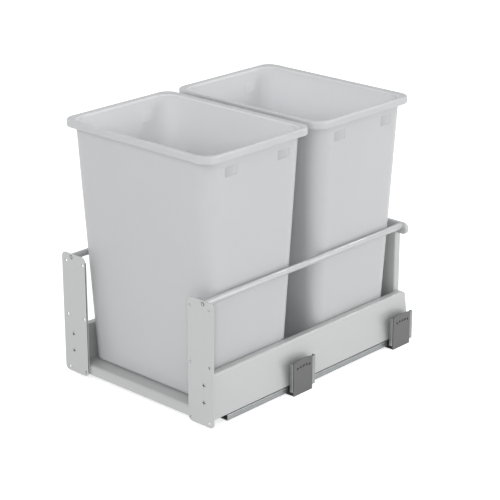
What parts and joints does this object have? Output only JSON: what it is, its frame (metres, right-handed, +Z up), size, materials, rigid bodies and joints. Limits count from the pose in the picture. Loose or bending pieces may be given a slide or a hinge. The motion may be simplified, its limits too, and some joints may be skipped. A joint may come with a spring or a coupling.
{
  "type": "pull out trash cabinet",
  "caption": "Full-extension pull-out frame for a kitchen base cabinet, carrying tall tapered waste bins one behind the other between folded steel sides.",
  "frame": {"origin": "centre of the footprint, on the plane of the cabinet floor that the mounting clips stand on", "axes": "+X to the right seen from the front, +Y back into the cabinet, +Z up; the door plates face -Y"},
  "size_m": [0.381, 0.544, 0.4828],
  "materials": {
    "silver_powder_coat": "fine semi-gloss silver-grey powder coat",
    "satin_rail_steel": "satin drawn steel tube",
    "zinc_plated_steel": "bright zinc plating on rolled strip",
    "dark_grey_coated_steel": "matt dark grey coating",
    "black_plastic": "moulded, matt black",
    "grey_plastic": "moulded, matt grey",
    "white_translucent_plastic": "moulded polypropylene, satin, slightly translucent white",
    "screw_steel": "zinc-plated screw"
  },
  "bodies": {
    "cabinet_fittings": {"cabinet_runner_right": "zinc_plated_steel", "cabinet_runner_left": "zinc_plated_steel", "clip_plate_front_right": "dark_grey_coated_steel", "clip_plate_front_left": "dark_grey_coated_steel", "clip_plate_rear_right": "dark_grey_coated_steel", "clip_plate_rear_left": "dark_grey_coated_steel", "clip_bracket_front_right": "zinc_plated_steel", "clip_bracket_front_left": "zinc_plated_steel", "clip_bracket_rear_right": "zinc_plated_steel", "clip_bracket_rear_left": "zinc_plated_steel", "clip_cradle_front_right": "black_plastic", "clip_cradle_front_left": "black_plastic", "clip_cradle_rear_right": "black_plastic", "clip_cradle_rear_left": "black_plastic", "clip_screw_front_right": "screw_steel", "clip_screw_front_left": "screw_steel", "clip_screw_rear_right": "screw_steel", "clip_screw_rear_left": "screw_steel", "damper_housing_right": "grey_plastic", "damper_housing_left": "grey_plastic", "damper_cylinder_right": "black_plastic", "damper_cylinder_left": "black_plastic"},
    "carriage": {"drawer_runner_right": "zinc_plated_steel", "drawer_runner_left": "zinc_plated_steel", "drawer_side_right": "silver_powder_coat", "drawer_side_left": "silver_powder_coat", "fixing_block_right": "grey_plastic", "fixing_block_left": "grey_plastic", "door_bracket_right": "silver_powder_coat", "door_bracket_left": "silver_powder_coat", "bracket_screw_lower_right": "screw_steel", "bracket_screw_lower_left": "screw_steel", "bracket_screw_upper_right": "screw_steel", "bracket_screw_upper_left": "screw_steel", "gallery_rail_front_right": "satin_rail_steel", "gallery_rail_front_left": "satin_rail_steel", "gallery_rail_rear_right": "satin_rail_steel", "gallery_rail_rear_left": "satin_rail_steel", "rail_spigot_right": "zinc_plated_steel", "rail_spigot_left": "zinc_plated_steel", "rail_screw_front_right": "screw_steel", "rail_screw_front_left": "screw_steel", "rail_screw_rear_right": "screw_steel", "rail_screw_rear_left": "screw_steel", "catch_pin_right": "black_plastic", "catch_pin_left": "black_plastic", "base_tray": "silver_powder_coat", "rear_panel": "silver_powder_coat"},
    "middle_member_right": {"middle_runner_right": "zinc_plated_steel"},
    "lower_rollers_right": {"lower_roller_cage_right": "grey_plastic"},
    "upper_rollers_right": {"upper_roller_cage_right": "grey_plastic"},
    "closing_catch_right": {"damped_catch_right": "grey_plastic"},
    "middle_member_left": {"middle_runner_left": "zinc_plated_steel"},
    "lower_rollers_left": {"lower_roller_cage_left": "grey_plastic"},
    "upper_rollers_left": {"upper_roller_cage_left": "grey_plastic"},
    "closing_catch_left": {"damped_catch_left": "grey_plastic"},
    "front_bin": {"bin_front": "white_translucent_plastic"},
    "rear_bin": {"bin_rear": "white_translucent_plastic"}
  },
  "joints": [
    {"name": "pull_out", "type": "slide", "parent": "cabinet_fittings", "child": "carriage", "axis": [0, -1, 0], "range_m": [0, 0.5]},
    {"name": "middle_member_travel_right", "type": "slide", "parent": "cabinet_fittings", "child": "middle_member_right", "axis": [0, -1, 0], "range_m": [0, 0.25]},
    {"name": "lower_rollers_travel_right", "type": "slide", "parent": "cabinet_fittings", "child": "lower_rollers_right", "axis": [0, -1, 0], "range_m": [0, 0.125]},
    {"name": "upper_rollers_travel_right", "type": "slide", "parent": "cabinet_fittings", "child": "upper_rollers_right", "axis": [0, -1, 0], "range_m": [0, 0.375]},
    {"name": "catch_travel_right", "type": "slide", "parent": "cabinet_fittings", "child": "closing_catch_right", "axis": [0, -1, 0], "range_m": [0, 0.04], "stiffness_N_per_m": 60},
    {"name": "middle_member_travel_left", "type": "slide", "parent": "cabinet_fittings", "child": "middle_member_left", "axis": [0, -1, 0], "range_m": [0, 0.25]},
    {"name": "lower_rollers_travel_left", "type": "slide", "parent": "cabinet_fittings", "child": "lower_rollers_left", "axis": [0, -1, 0], "range_m": [0, 0.125]},
    {"name": "upper_rollers_travel_left", "type": "slide", "parent": "cabinet_fittings", "child": "upper_rollers_left", "axis": [0, -1, 0], "range_m": [0, 0.375]},
    {"name": "catch_travel_left", "type": "slide", "parent": "cabinet_fittings", "child": "closing_catch_left", "axis": [0, -1, 0], "range_m": [0, 0.04], "stiffness_N_per_m": 60},
    {"name": "lift_out_front", "type": "slide", "parent": "carriage", "child": "front_bin", "axis": [0, 0, 1], "range_m": [0, 0.46]},
    {"name": "lift_out_rear", "type": "slide", "parent": "carriage", "child": "rear_bin", "axis": [0, 0, 1], "range_m": [0, 0.46]}
  ],
  "couplings": [
    {"joint": "middle_member_travel_right", "follows": "pull_out", "ratio": 0.5},
    {"joint": "lower_rollers_travel_right", "follows": "pull_out", "ratio": 0.25},
    {"joint": "upper_rollers_travel_right", "follows": "pull_out", "ratio": 0.75},
    {"joint": "middle_member_travel_left", "follows": "pull_out", "ratio": 0.5},
    {"joint": "lower_rollers_travel_left", "follows": "pull_out", "ratio": 0.25},
    {"joint": "upper_rollers_travel_left", "follows": "pull_out", "ratio": 0.75}
  ]
}
